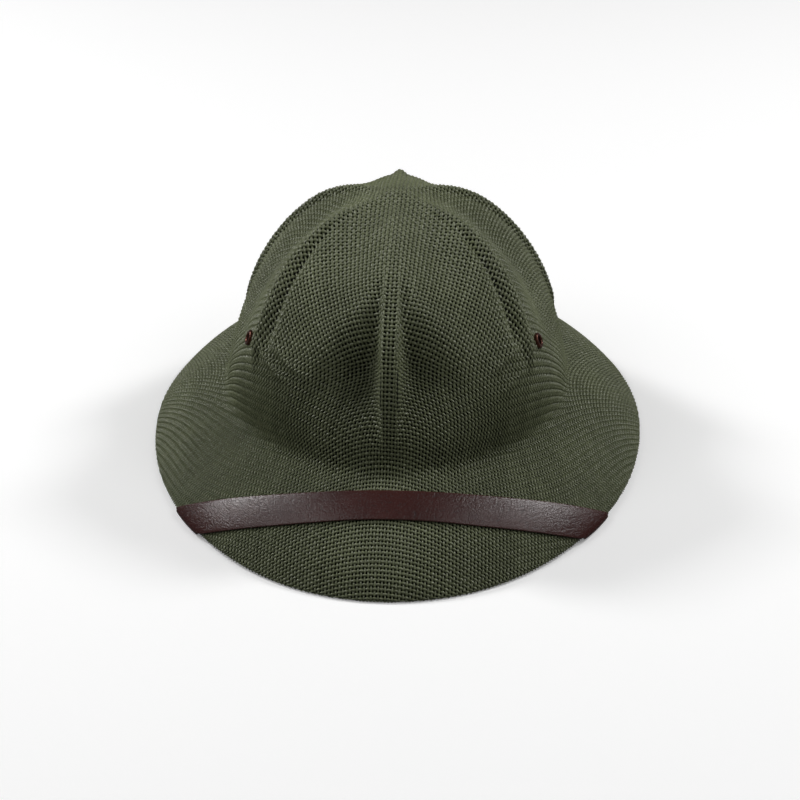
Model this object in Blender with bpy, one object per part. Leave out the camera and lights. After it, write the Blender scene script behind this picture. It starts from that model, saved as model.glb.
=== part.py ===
"""A pressed straw sun helmet: one woven shell with ribs and a pinched front, a leather chin strap
laid over the front of the brim, two side eyelets and the two studs that hold the strap's ends.

Metres, +Z up. The wearer looks along -Y, +X is to the right in a view from the front, and the
helmet stands on Z = 0 on its brim, the brim's oval centred on the origin. The functions work from
the middle of the head, and STAND moves the finished pieces. An azimuth is measured in degrees
from the front, towards +X.
"""

import math
from collections import namedtuple

import bmesh
import bpy
import numpy as np
from mathutils import Matrix, Vector

# Brim
BRIM_WIDTH = 0.2967         # from side edge to side edge
BRIM_FRONT = 0.1848         # from the middle to the front tip
BRIM_BACK = 0.1540          # from the middle to the back edge
BRIM_POWER_FRONT = 2.01     # 2 would be an ellipse
BRIM_POWER_BACK = 2.05
EDGE_LIFT = 0.0020          # how far the side edges stand off the table
EDGE_LIFT_START = 14.0      # the edge starts to rise here, in degrees from front and back
EDGE_LIFT_END = 42.0
BRIM_ROLL = 0.25            # share of the brim's drop that its outer edge takes

# Crown
CROWN_WIDTH = 0.2044
CROWN_FRONT = 0.120
CROWN_BACK = 0.118
CROWN_POWER = 2.12
FOOT_FRONT = 0.043          # height at which the crown meets the brim
FOOT_SIDE = 0.037
FOOT_BACK = 0.040
CROWN_TOP = 0.1442          # height of the dome without its nub
APEX_BACK = 0.025           # the ribs meet this far behind the middle
APEX_POWER = 2.5
DOME_POWER_FRONT = 2.9
DOME_POWER_SIDE = 1.92
DOME_POWER_BACK = 1.85
COVE = 0.006                # size of the fillet between crown and brim
MERIDIAN_BOW = 9.0          # how far the ribs bow sideways on their way down, in degrees

# Ribs, gores and dents
RIB_HEIGHT = 0.0037
RIB_HALF_ANGLE = 3.0        # half the width of a rib, as an angle at the middle of the helmet
RIB_FADE = 0.20             # height over which a rib rises out of the wall, as a share of the crown
RIB_MERGE = 0.60            # the ribs sink into the top this near the apex, as a share of the way out
RIB_SPREAD = 1.00           # nearer the apex than this share, a rib keeps its width
WELT_HEIGHT = 0.0015        # the front rib is a strip between two thin welts
WELT_GAP = 0.0050           # from its middle to each welt
WELT_HALF_WIDTH = 0.0019
WELT_TOP = 0.95             # the welts end here, as a share of the crown's height
VALLEY_DEPTH = 0.0026       # beside the front ribs, towards the front
VALLEY_OFFSET = 4.6         # from the rib's crest, in degrees
VALLEY_HALF_ANGLE = 1.9
GORE_DEPTH = 0.0070         # how far the widest gore sinks between its ribs
DENT_DEPTH = 0.0175
DENT_START = 0.0048         # from the middle of the front rib
DENT_BROW = 0.30            # height of a dent's upper slope, as a share of the crown
DENT_SILL = 0.56            # height of its lower slope
DENT_SLANT = 0.40           # how much lower a dent's far end starts
DENT_LEAN = 0.46            # below 1, a dent is deepest near the front rib
NUB_HEIGHT = 0.0020         # where all the ribs meet
NUB_RADIUS = 0.012

Rib = namedtuple("Rib", "azimuth foot single valley")
RIBS = (
    Rib(azimuth=0.0, foot=0.22, single=0.0, valley=0.0),
    Rib(azimuth=49.0, foot=0.30, single=1.0, valley=1.0),
    Rib(azimuth=116.0, foot=0.04, single=1.0, valley=0.0),
    Rib(azimuth=180.0, foot=0.04, single=1.0, valley=0.0),
    Rib(azimuth=244.0, foot=0.04, single=1.0, valley=0.0),
    Rib(azimuth=311.0, foot=0.30, single=1.0, valley=1.0),
)
GORE_SHARES = (0.7, 1.0, 0.85, 0.85, 1.0, 0.7)      # depth of the gore that follows each rib

Dent = namedtuple("Dent", "side width top depth")
DENTS = (
    Dent(side=-1.0, width=31.0, top=0.95, depth=1.0),
    Dent(side=1.0, width=31.0, top=0.95, depth=0.78),
)

# Wall
WALL = 0.0020
HEM = 0.0026                # the straw is folded double at the brim's edge
HEM_WIDTH = 0.009
CLEARANCE = 0.0003          # between pieces that touch
FACET_SAG = 0.0003          # most that a flat facet stands off the curved skin

# Chin strap
STRAP_WIDTH = 0.0182
STRAP_THICKNESS = 0.0010
STRAP_SHARE = 0.285          # where it crosses the front of the brim, from crown to edge
STRAP_BOW = 2.1
STRAP_EDGE_AZIMUTH = 45.4   # where it goes over the edge
STRAP_FOOT_AZIMUTH = 70.0   # where it passes the crown's foot, inside
STRAP_END_AZIMUTH = 76.0    # where its stud holds it
STRAP_RISE = 0.024          # from the crown's foot up to its end, inside
STRAP_LINES = 5             # points across its width
STRAP_GAP = CLEARANCE + FACET_SAG

# Studs and eyelets
STUD_HEAD = 0.0095
STUD_POST = 0.0042
STUD_HEAD_THICKNESS = 0.0014
EYELET_AZIMUTH = 57.0
EYELET_SHARE = 0.445        # its height, as a share of the crown's
EYELET_OUTER = 0.0092
EYELET_BORE = 0.0050
EYELET_TUBE = 0.0004        # wall of its barrel
EYELET_ROLL = 0.0007        # thickness of its rolled rims

# How finely the shell is faceted
CROWN_RINGS = 18
COVE_RINGS = 2
BRIM_RINGS = 7
RIB_LINES = (-3.0, -1.5, 0.0, 1.5, 3.0)
GORE_STEP = 6.2
PROBE = 0.0004              # step for slopes, in stations or radians
ROUND_SIDES = 14

# Colours, roughness and metallic value
FINISHES = {
    "straw": ((0.105, 0.120, 0.055, 1.0), 0.75, 0.0),
    "leather": ((0.060, 0.024, 0.019, 1.0), 0.38, 0.0),
    "lacquered_metal": ((0.130, 0.050, 0.030, 1.0), 0.35, 0.8),
}


def ease(value):
    """Smooth step from 0 to 1."""
    value = np.clip(value, 0.0, 1.0)
    return value * value * (3.0 - 2.0 * value)


def oval(azimuth, half_width, front, back, power):
    """Plan radius of an oval whose front and back differ. Azimuth in radians."""
    length = np.where(np.cos(azimuth) > 0.0, front, back)
    across = (np.abs(np.sin(azimuth)) / half_width) ** power
    along = (np.abs(np.cos(azimuth)) / length) ** power
    return (across + along) ** (-1.0 / power)


def around(azimuth, front, side, back):
    """A value that runs smoothly from the front over the sides to the back."""
    end = np.where(np.cos(azimuth) > 0.0, front, back)
    return side + (end - side) * np.cos(azimuth) ** 2


def brim_oval(azimuth):
    """Plan radius of the brim's edge."""
    power = np.where(np.cos(azimuth) > 0.0, BRIM_POWER_FRONT, BRIM_POWER_BACK)
    return oval(azimuth, BRIM_WIDTH / 2, BRIM_FRONT, BRIM_BACK, power)


def crown_oval(azimuth):
    """Plan radius of the crown's foot."""
    return oval(azimuth, CROWN_WIDTH / 2, CROWN_FRONT, CROWN_BACK, CROWN_POWER)


def edge_height(azimuth):
    """Height of the brim's outer edge: down at front and back, slightly up at the sides."""
    from_axis = np.degrees(np.arcsin(np.clip(np.abs(np.sin(azimuth)), 0.0, 1.0)))
    return EDGE_LIFT * ease((from_axis - EDGE_LIFT_START) / (EDGE_LIFT_END - EDGE_LIFT_START))


def base_skin(azimuth, station):
    """The pressed form without ribs, gores and dents.

    Station 0 is the apex, 1 the crown's foot above the cove, 2 the brim below it, 3 the edge.
    Returns the point, the share of the way out from the apex and the share of the crown's height.
    """
    foot_radius = crown_oval(azimuth)
    edge_radius = brim_oval(azimuth)
    foot = around(azimuth, FOOT_FRONT, FOOT_SIDE, FOOT_BACK)
    drop = foot - edge_height(azimuth)
    rise = CROWN_TOP - foot
    power = around(azimuth, DOME_POWER_FRONT, DOME_POWER_SIDE, DOME_POWER_BACK)

    last_turn = np.arccos((COVE / rise) ** (power / 2))
    turn = np.clip(station, 0.0, 1.0) * last_turn
    out = np.sin(turn) ** (2 / power)
    height = np.cos(turn) ** (2 / power)

    brim_start = COVE / np.hypot(edge_radius - foot_radius, drop)
    share = brim_start + (1 - brim_start) * np.clip(station - 2, 0.0, 1.0)

    def brim(at):
        fall = at * (1 - BRIM_ROLL) + BRIM_ROLL * at ** 4
        return foot_radius + (edge_radius - foot_radius) * at, foot - drop * fall

    turn_in = np.clip(station - 1, 0.0, 1.0)
    wall_radius = np.sin(last_turn) ** (2 / power) * foot_radius
    lip_radius, lip_height = brim(brim_start)
    weights = ((1 - turn_in) ** 2, 2 * turn_in * (1 - turn_in), turn_in ** 2)
    cove_radius = weights[0] * wall_radius + weights[1] * foot_radius + weights[2] * lip_radius
    cove_height = weights[0] * (foot + COVE) + weights[1] * foot + weights[2] * lip_height
    brim_radius, brim_height = brim(share)

    on_crown = station <= 1
    radius = np.where(on_crown, out * foot_radius, np.where(station <= 2, cove_radius, brim_radius))
    level = np.where(on_crown, foot + rise * height, np.where(station <= 2, cove_height, brim_height))
    out = np.where(on_crown, out, 1.0)
    height = np.where(on_crown, height, 0.0)
    bow = out * (1 - out) ** 1.5 / 0.186
    heading = azimuth + math.radians(MERIDIAN_BOW) * np.sin(azimuth) * np.abs(np.sin(azimuth)) * bow
    middle = APEX_BACK * (1 - out ** APEX_POWER)
    point = np.stack([radius * np.sin(heading), middle - radius * np.cos(heading), level], axis=-1)
    return point, out, height


def relief(azimuth, out, height):
    """How far ribs, gores and dents lift the skin, along its normal."""
    degrees = np.degrees(azimuth) % 360.0
    lift = np.zeros_like(degrees)
    for rib, after, share in zip(RIBS, RIBS[1:] + RIBS[:1], GORE_SHARES):
        span = (after.azimuth - rib.azimuth) % 360.0
        across = ((degrees - rib.azimuth) % 360.0) / span
        sag = np.sin(math.pi * np.clip(across, 0.0, 1.0)) ** 2
        lift -= GORE_DEPTH * share * sag * ease((out - 0.1) / 0.5) * ease(height / 0.6) * (across < 1.0)

    crest = np.zeros_like(degrees)
    front_reach = np.maximum(out, 0.2) * CROWN_FRONT
    for rib in RIBS:
        off = (degrees - rib.azimuth + 180.0) % 360.0 - 180.0
        half_angle = RIB_HALF_ANGLE * np.maximum(1.0, RIB_SPREAD / np.maximum(out, 0.05))
        welt = np.cos(np.clip(off / half_angle, -1.0, 1.0) * math.pi / 2) ** 2
        grown = ease((height - rib.foot) / RIB_FADE)
        crest = np.maximum(crest, RIB_HEIGHT * rib.single * welt * grown * ease(out / RIB_MERGE))
        aside = np.radians(np.abs(off)) * front_reach
        welts = np.exp(-((aside - WELT_GAP) / WELT_HALF_WIDTH) ** 2) * (1 - rib.single)
        crest = np.maximum(crest, WELT_HEIGHT * welts * grown * ease((WELT_TOP - height) / 0.12))
        front_side = off * np.where(rib.azimuth > 180.0, 1.0, -1.0)
        valley = np.exp(-((front_side - VALLEY_OFFSET) / VALLEY_HALF_ANGLE) ** 2)
        lift -= VALLEY_DEPTH * rib.valley * valley * ease((height - 0.42) / 0.20) * ease((out - 0.35) / 0.4)
    lift += crest

    start = np.degrees(DENT_START / front_reach)
    for dent in DENTS:
        signed = ((degrees + 180.0) % 360.0 - 180.0) * dent.side
        across = np.clip((signed - start) / dent.width, 0.0, 1.0)
        bowl = np.sin(math.pi * across ** DENT_LEAN) ** 1.5
        brow = dent.top - DENT_SLANT * across
        down = ease((brow - height) / DENT_BROW) * ease(height / DENT_SILL)
        lift -= DENT_DEPTH * dent.depth * bowl * down
    return lift


def shaped_skin(azimuth, station):
    """A point of the finished outer skin."""
    point, out, height = base_skin(azimuth, station)
    ahead = base_skin(azimuth, station + PROBE)[0] - base_skin(azimuth, station - PROBE)[0]
    aside = base_skin(azimuth + PROBE, station)[0] - base_skin(azimuth - PROBE, station)[0]
    normal = np.cross(ahead, aside)
    normal /= np.linalg.norm(normal, axis=-1, keepdims=True)
    point = point + normal * relief(azimuth, out, height)[..., None]
    from_apex = np.hypot(point[..., 0], point[..., 1] - APEX_BACK)
    point[..., 2] += NUB_HEIGHT * np.exp(-(from_apex / NUB_RADIUS) ** 3)
    return point


def skin(azimuth, station):
    """A point of the outer skin and the direction that faces out of the straw there."""
    azimuth, station = np.broadcast_arrays(np.asarray(azimuth, float), np.asarray(station, float))
    station = np.clip(station, 2 * PROBE, 3 - 2 * PROBE)
    ahead = shaped_skin(azimuth, station + PROBE) - shaped_skin(azimuth, station - PROBE)
    aside = shaped_skin(azimuth + PROBE, station) - shaped_skin(azimuth - PROBE, station)
    normal = np.cross(ahead, aside)
    normal /= np.linalg.norm(normal, axis=-1, keepdims=True)
    return shaped_skin(azimuth, station), normal


def brim_length(azimuth):
    """Slant length of the brim from the crown's foot to the edge."""
    steps = np.linspace(2.0, 3.0, 9)
    run = base_skin(np.full_like(steps, azimuth), steps)[0]
    return float(np.linalg.norm(np.diff(run, axis=0), axis=1).sum())


def wall_at(azimuth, station):
    """Thickness of the straw: one layer, and two where the hem is folded in."""
    edge_radius = brim_oval(azimuth)
    foot_radius = crown_oval(azimuth)
    from_edge = (3.0 - station) * (edge_radius - foot_radius)
    return HEM + (WALL - HEM) * ease(from_edge / HEM_WIDTH)


def azimuth_lines():
    """Azimuths of the shell's lines: five on each rib, the others even across each gore."""
    lines = []
    for rib, after in zip(RIBS, RIBS[1:] + RIBS[:1]):
        lines += [rib.azimuth + offset for offset in RIB_LINES]
        start = rib.azimuth + RIB_LINES[-1]
        span = (after.azimuth - rib.azimuth) % 360.0 + RIB_LINES[0] - RIB_LINES[-1]
        count = max(2, round(span / GORE_STEP))
        lines += [start + span * step / count for step in range(1, count)]
    return np.radians(np.array(sorted(line % 360.0 for line in lines)))


def ring_stations():
    """Stations of the shell's rings, closer together near the apex."""
    crown = (np.arange(1, CROWN_RINGS + 1) / CROWN_RINGS) ** 1.5
    cove = 1.0 + np.arange(1, COVE_RINGS + 1) / COVE_RINGS
    brim = 2.0 + np.arange(1, BRIM_RINGS + 1) / BRIM_RINGS
    return np.concatenate([crown, cove, brim])


def shell_grids():
    """Outer skin, inner skin and the hem's round edge, as grids of points."""
    stations, azimuths = np.meshgrid(ring_stations(), azimuth_lines(), indexing="ij")
    outer, normal = skin(azimuths, stations)
    wall = wall_at(azimuths, stations)
    inner = outer - normal * wall[..., None]
    edge_middle = (outer[-1] + inner[-1]) / 2
    past = outer[-1] - outer[-2]
    past /= np.linalg.norm(past, axis=-1, keepdims=True)
    half = HEM / 2
    hem = [edge_middle + half * (past * math.sin(turn) + normal[-1] * math.cos(turn))
           for turn in (math.radians(45), math.radians(90), math.radians(135))]
    return outer, inner, np.stack(hem)


def stand_height():
    """How far everything is raised so that the hem's lowest point is at Z = 0."""
    return -min(grid[..., 2].min() for grid in shell_grids())


STAND = Matrix.Translation((0.0, (BRIM_FRONT - BRIM_BACK) / 2, stand_height()))


def make_material(name):
    colour, roughness, metallic = FINISHES[name]
    material = bpy.data.materials.new(name)
    material.use_nodes = True
    shader = material.node_tree.nodes["Principled BSDF"]
    shader.inputs["Base Color"].default_value = colour
    shader.inputs["Roughness"].default_value = roughness
    shader.inputs["Metallic"].default_value = metallic
    material.diffuse_color = colour
    return material


def make_object(name, mesh_data, material, placement):
    """An object from a bmesh, with outward faces and smooth shading, in its place."""
    bmesh.ops.recalc_face_normals(mesh_data, faces=mesh_data.faces)
    if mesh_data.calc_volume(signed=True) < 0:
        bmesh.ops.reverse_faces(mesh_data, faces=mesh_data.faces)
    mesh = bpy.data.meshes.new(name)
    mesh_data.to_mesh(mesh)
    mesh_data.free()
    if material is not None:
        mesh.materials.append(material)
    mesh.shade_smooth()
    mesh.set_sharp_from_angle(angle=math.radians(40))
    piece = bpy.data.objects.new(name, mesh)
    bpy.context.scene.collection.objects.link(piece)
    piece.matrix_world = placement
    return piece


def closed_strip(mesh_data, rings):
    """Faces between one ring of vertices and the next, each ring closed on itself."""
    for ring, following in zip(rings, rings[1:]):
        count = len(ring)
        for k in range(count):
            after = (k + 1) % count
            mesh_data.faces.new((ring[k], ring[after], following[after], following[k]))


def make_shell(material):
    outer, inner, hem = shell_grids()
    mesh_data = bmesh.new()
    rows = list(outer) + list(hem) + list(inner[::-1])
    rings = [[mesh_data.verts.new(point) for point in row] for row in rows]
    closed_strip(mesh_data, rings)
    mesh_data.faces.new(rings[0])
    mesh_data.faces.new(rings[-1])
    return make_object("helmet_shell", mesh_data, material, STAND)


def wrap_profile(azimuth):
    """A line over the brim, round its hem, back underneath and up the crown's inside.

    Returns its length from the edge at each point (less than 0 on top), the points and the
    directions that face away from the straw.
    """
    top_stations = np.linspace(2.0, 3.0, 25)
    inner_stations = np.concatenate([top_stations[::-1], np.linspace(2.0, 1.0, 7)[1:],
                                     np.linspace(1.0, 0.45, 19)[1:]])
    top, top_normal = skin(np.full_like(top_stations, azimuth), top_stations)
    under, under_normal = skin(np.full_like(inner_stations, azimuth), inner_stations)
    under = under - under_normal * wall_at(azimuth, inner_stations)[:, None]
    past = top[-1] - top[-2]
    past /= np.linalg.norm(past)
    middle = (top[-1] + under[0]) / 2
    turns = np.radians(np.linspace(15, 165, 11))
    away = np.outer(np.sin(turns), past) + np.outer(np.cos(turns), top_normal[-1])
    points = np.concatenate([top, middle + HEM / 2 * away, under])
    normals = np.concatenate([top_normal, away, -under_normal])
    length = np.concatenate([[0.0], np.cumsum(np.linalg.norm(np.diff(points, axis=0), axis=1))])
    return length - length[len(top) - 1], points, normals


def strap_route():
    """Half of the strap's middle line, front to end, as rows of azimuth, length from the edge and
    slant: 0 where its cross-sections are square, 1 where they lie along the brim's edge."""
    length_at_edge = brim_length(math.radians(STRAP_EDGE_AZIMUTH))
    hem_turn = math.pi * HEM / 2
    foot_length = hem_turn + length_at_edge
    route = []
    for step in np.linspace(0.0, 1.0, 17):
        azimuth = STRAP_EDGE_AZIMUTH * step
        share = STRAP_SHARE + (1 - STRAP_SHARE) * step ** STRAP_BOW
        length = -(1 - share) * brim_length(math.radians(azimuth))
        route.append((azimuth, length, float(ease((step - 0.35) / 0.5))))
    lengths = np.concatenate([np.linspace(0.0, hem_turn, 7), np.linspace(hem_turn, foot_length, 8),
                              np.linspace(foot_length, foot_length + STRAP_RISE, 6)])
    for length in np.unique(lengths)[1:]:
        to_foot = min(length / foot_length, 1.0)
        past_foot = max(length - foot_length, 0.0) / STRAP_RISE
        azimuth = STRAP_EDGE_AZIMUTH + (STRAP_FOOT_AZIMUTH - STRAP_EDGE_AZIMUTH) * to_foot
        azimuth += (STRAP_END_AZIMUTH - STRAP_FOOT_AZIMUTH) * past_foot
        route.append((azimuth, length, 1.0))
    return np.array(route)


def on_wrap(azimuth, length):
    """Point and outward direction of the straw at a place on the strap's route, in radians."""
    lengths, points, normals = wrap_profile(azimuth)
    point = np.array([np.interp(length, lengths, points[:, axis]) for axis in range(3)])
    normal = np.array([np.interp(length, lengths, normals[:, axis]) for axis in range(3)])
    return point, normal / np.linalg.norm(normal)


def strap_rows():
    """Cross-sections of the strap, from one end to the other, each a closed ring of points."""
    half = strap_route()
    route = np.concatenate([half[:0:-1] * (-1.0, 1.0, 1.0), half])
    azimuths, lengths, slants = np.radians(route[:, 0]), route[:, 1], route[:, 2]
    reach = np.array([math.hypot(*on_wrap(a, d)[0][:2]) for a, d in zip(azimuths, lengths)])
    sideways = np.gradient(azimuths) * reach
    onward = np.gradient(lengths)
    sideways, onward = sideways / np.hypot(sideways, onward), onward / np.hypot(sideways, onward)
    rows = []
    for k in range(len(route)):
        shear = slants[k] * sideways[k] / onward[k] if slants[k] > 0 else 0.0
        lower, upper = [], []
        for offset in np.linspace(-STRAP_WIDTH / 2, STRAP_WIDTH / 2, STRAP_LINES):
            turned = azimuths[k] - offset * (onward[k] + shear * sideways[k]) / reach[k]
            point, normal = on_wrap(turned, lengths[k] + offset * (sideways[k] - shear * onward[k]))
            lower.append(point + normal * STRAP_GAP)
            upper.append(point + normal * (STRAP_GAP + STRAP_THICKNESS))
        rows.append(lower + upper[::-1])
    return rows


def make_strap(material):
    mesh_data = bmesh.new()
    rings = [[mesh_data.verts.new(point) for point in row] for row in strap_rows()]
    closed_strip(mesh_data, rings)
    mesh_data.faces.new(rings[0])
    mesh_data.faces.new(rings[-1])
    return make_object("chin_strap", mesh_data, material, STAND)


def frame_at(point, direction):
    """A placement whose Z axis is the given direction."""
    turn = Vector(direction).to_track_quat("Z", "Y").to_matrix().to_4x4()
    return Matrix.Translation(Vector(point)) @ turn


def turned_piece(name, profile, placement, material):
    """A round piece from a closed profile of (radius, height) pairs."""
    mesh_data = bmesh.new()
    rings = []
    for step in range(ROUND_SIDES):
        angle = 2 * math.pi * step / ROUND_SIDES
        turn = (math.cos(angle), math.sin(angle))
        rings.append([mesh_data.verts.new((r * turn[0], r * turn[1], h)) for r, h in profile])
    closed_strip(mesh_data, rings + rings[:1])
    return make_object(name, mesh_data, material, STAND @ placement)


def drill(target, name, radius, reach, placement):
    """Cuts a round hole through a piece."""
    mesh_data = bmesh.new()
    bmesh.ops.create_cone(mesh_data, cap_ends=True, segments=ROUND_SIDES, radius1=radius,
                          radius2=radius, depth=2 * reach)
    cutter = make_object(name, mesh_data, None, STAND @ placement)
    cutter.hide_render = True
    cutter.display_type = "WIRE"
    cut = target.modifiers.new(name, "BOOLEAN")
    cut.operation = "DIFFERENCE"
    cut.solver = "EXACT"
    cut.object = cutter


def skin_seat(azimuth, station, radius, side):
    """Frame of a round piece on the skin, and how far off the skin's middle its rim clears it.

    Side is 1 for the outer skin and -1 for the inner one.
    """
    centre, normal = skin(azimuth, station)
    wall = float(wall_at(azimuth, station))
    about = crown_oval(azimuth)
    turns = np.linspace(0.0, 2 * math.pi, 16, endpoint=False)
    near_azimuth = azimuth + radius * np.cos(turns) / about
    near_station = station + radius * np.sin(turns) / (CROWN_TOP - FOOT_SIDE) / 1.4
    near, near_normal = skin(near_azimuth, near_station)
    if side < 0:
        near = near - near_normal * wall
    rise = ((near - centre) @ normal * side).max()
    return centre, normal, rise + CLEARANCE + FACET_SAG


def eyelet_place(side):
    """Azimuth in radians and station of an eyelet."""
    azimuth = math.radians(EYELET_AZIMUTH * side)
    rise = CROWN_TOP - around(azimuth, FOOT_FRONT, FOOT_SIDE, FOOT_BACK)
    power = around(azimuth, DOME_POWER_FRONT, DOME_POWER_SIDE, DOME_POWER_BACK)
    last_turn = math.acos((COVE / rise) ** (power / 2))
    return azimuth, math.acos(EYELET_SHARE ** (power / 2)) / last_turn


def make_eyelet(name, side, shell, material):
    azimuth, station = eyelet_place(side)
    centre, normal, outer_seat = skin_seat(azimuth, station, EYELET_OUTER / 2, 1)
    inner_seat = skin_seat(azimuth, station, EYELET_OUTER / 2, -1)[2]
    bore = EYELET_BORE / 2
    barrel = bore + EYELET_TUBE
    rim = EYELET_OUTER / 2
    soft = EYELET_ROLL * 0.4
    profile = [
        (bore, outer_seat + EYELET_ROLL - soft), (bore + soft, outer_seat + EYELET_ROLL),
        (rim - soft, outer_seat + EYELET_ROLL), (rim, outer_seat + EYELET_ROLL - soft),
        (rim, outer_seat), (barrel, outer_seat), (barrel, -inner_seat), (rim, -inner_seat),
        (rim, -inner_seat - EYELET_ROLL + soft), (rim - soft, -inner_seat - EYELET_ROLL),
        (bore + soft, -inner_seat - EYELET_ROLL), (bore, -inner_seat - EYELET_ROLL + soft),
    ]
    placement = frame_at(centre, normal)
    drill(shell, name + "_hole", barrel + CLEARANCE, outer_seat + inner_seat + 3 * WALL, placement)
    return turned_piece(name, profile, placement, material)


def make_stud(name, side, strap, material):
    """A plain stud through the strap's end, its post just short of the straw."""
    azimuth_end, length_end, _ = strap_route()[-1]
    share_back = STRAP_WIDTH / 2 / STRAP_RISE
    azimuth = azimuth_end - (STRAP_END_AZIMUTH - STRAP_FOOT_AZIMUTH) * share_back
    point, normal = on_wrap(math.radians(azimuth) * side, length_end - STRAP_WIDTH / 2)
    face = STRAP_GAP + STRAP_THICKNESS + CLEARANCE + FACET_SAG
    head, post, soft = STUD_HEAD / 2, STUD_POST / 2, STUD_HEAD_THICKNESS * 0.4
    mesh_data = bmesh.new()
    outline = [(post, CLEARANCE + FACET_SAG), (post, face), (head, face),
               (head, face + STUD_HEAD_THICKNESS - soft), (head - soft, face + STUD_HEAD_THICKNESS)]
    rings = []
    for radius, height in outline:
        turns = [2 * math.pi * step / ROUND_SIDES for step in range(ROUND_SIDES)]
        rings.append([mesh_data.verts.new((radius * math.cos(t), radius * math.sin(t), height))
                      for t in turns])
    closed_strip(mesh_data, rings)
    mesh_data.faces.new(rings[0])
    mesh_data.faces.new(rings[-1])
    placement = frame_at(point, normal)
    stud = make_object(name, mesh_data, material, STAND @ placement)
    drill(strap, name + "_hole", post + CLEARANCE, face, placement)
    return stud


def build():
    for leftover in list(bpy.data.objects):
        bpy.data.objects.remove(leftover, do_unlink=True)
    materials = {name: make_material(name) for name in FINISHES}
    helmet = bpy.data.objects.new("sun_helmet", None)
    bpy.context.scene.collection.objects.link(helmet)
    shell = make_shell(materials["straw"])
    strap = make_strap(materials["leather"])
    pieces = [shell, strap]
    for word, side in (("left", -1.0), ("right", 1.0)):
        pieces.append(make_eyelet("eyelet_" + word, side, shell, materials["lacquered_metal"]))
        pieces.append(make_stud("strap_stud_" + word, side, strap, materials["lacquered_metal"]))
    for piece in pieces:
        piece.parent = helmet


build()
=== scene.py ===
"""The looks of a pressed straw sun helmet.

The cloth is woven thread by thread over the pressed form, with the leather strap laid over the
brim, brown eyelets in the crown and a plain studio round it. Metres, +Z up, the helmet's front
towards -Y. The form's sizes are those of the solid helmet, whose box gives its place.
"""

import math
from collections import namedtuple

import bmesh
import bpy
import numpy as np
from mathutils import Matrix, Vector


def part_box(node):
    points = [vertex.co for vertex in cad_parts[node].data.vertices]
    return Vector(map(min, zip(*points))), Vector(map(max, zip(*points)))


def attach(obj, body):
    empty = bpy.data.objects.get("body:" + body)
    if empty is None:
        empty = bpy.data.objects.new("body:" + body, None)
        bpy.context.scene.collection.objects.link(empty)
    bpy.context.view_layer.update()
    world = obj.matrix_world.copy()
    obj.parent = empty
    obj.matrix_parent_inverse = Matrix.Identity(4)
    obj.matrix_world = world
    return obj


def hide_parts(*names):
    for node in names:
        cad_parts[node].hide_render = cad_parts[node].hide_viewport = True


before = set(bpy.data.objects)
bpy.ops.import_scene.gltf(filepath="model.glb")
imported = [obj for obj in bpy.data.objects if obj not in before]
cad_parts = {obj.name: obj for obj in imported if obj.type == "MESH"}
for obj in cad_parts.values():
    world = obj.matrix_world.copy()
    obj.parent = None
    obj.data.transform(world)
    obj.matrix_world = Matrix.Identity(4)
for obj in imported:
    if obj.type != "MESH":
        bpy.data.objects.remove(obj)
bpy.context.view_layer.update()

# Brim
BRIM_WIDTH = 0.2967
BRIM_FRONT = 0.1848
BRIM_BACK = 0.1540
BRIM_POWER_FRONT = 2.01
BRIM_POWER_BACK = 2.05
EDGE_LIFT = 0.0020
EDGE_LIFT_START = 14.0
EDGE_LIFT_END = 42.0
BRIM_ROLL = 0.25

# Crown
CROWN_WIDTH = 0.2044
CROWN_FRONT = 0.120
CROWN_BACK = 0.118
CROWN_POWER = 2.12
FOOT_FRONT = 0.043
FOOT_SIDE = 0.037
FOOT_BACK = 0.040
CROWN_TOP = 0.1442
APEX_BACK = 0.025
APEX_POWER = 2.5
DOME_POWER_FRONT = 2.9
DOME_POWER_SIDE = 1.92
DOME_POWER_BACK = 1.85
COVE = 0.006
MERIDIAN_BOW = 9.0
BOW_PEAK = 0.186            # the greatest value of the bow's curve, which brings it to 1

# Ribs, gores and dents
RIB_HEIGHT = 0.0037
RIB_HALF_ANGLE = 3.0
RIB_FADE = 0.20
RIB_MERGE = 0.60
RIB_SPREAD = 1.00           # nearer the apex than this share, a rib keeps its width
RIB_LEAST_OUT = 0.05
WELT_HEIGHT = 0.0015        # the front rib is two thin welts
WELT_GAP = 0.0050
WELT_HALF_WIDTH = 0.0019
WELT_TOP = 0.95
WELT_FADE = 0.12
VALLEY_DEPTH = 0.0026
VALLEY_OFFSET = 4.6
VALLEY_HALF_ANGLE = 1.9
VALLEY_FOOT = 0.42
VALLEY_FADE = 0.20
VALLEY_START = 0.35         # share of the way out from the apex
VALLEY_GROW = 0.4
GORE_DEPTH = 0.0070
GORE_START = 0.1            # share of the way out from the apex
GORE_GROW = 0.5
GORE_FADE = 0.6             # share of the crown's height
DENT_DEPTH = 0.0175
DENT_START = 0.0048         # from the middle of the front rib
DENT_BROW = 0.30
DENT_SILL = 0.56
DENT_SLANT = 0.40
DENT_LEAN = 0.46
LEAST_FRONT_REACH = 0.2
NUB_HEIGHT = 0.0020
NUB_RADIUS = 0.012
NUB_POWER = 3

Rib = namedtuple("Rib", "azimuth foot single valley")
RIBS = (
    Rib(azimuth=0.0, foot=0.22, single=0.0, valley=0.0),
    Rib(azimuth=49.0, foot=0.30, single=1.0, valley=1.0),
    Rib(azimuth=116.0, foot=0.04, single=1.0, valley=0.0),
    Rib(azimuth=180.0, foot=0.04, single=1.0, valley=0.0),
    Rib(azimuth=244.0, foot=0.04, single=1.0, valley=0.0),
    Rib(azimuth=311.0, foot=0.30, single=1.0, valley=1.0),
)
GORE_SHARES = (0.7, 1.0, 0.85, 0.85, 1.0, 0.7)

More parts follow.
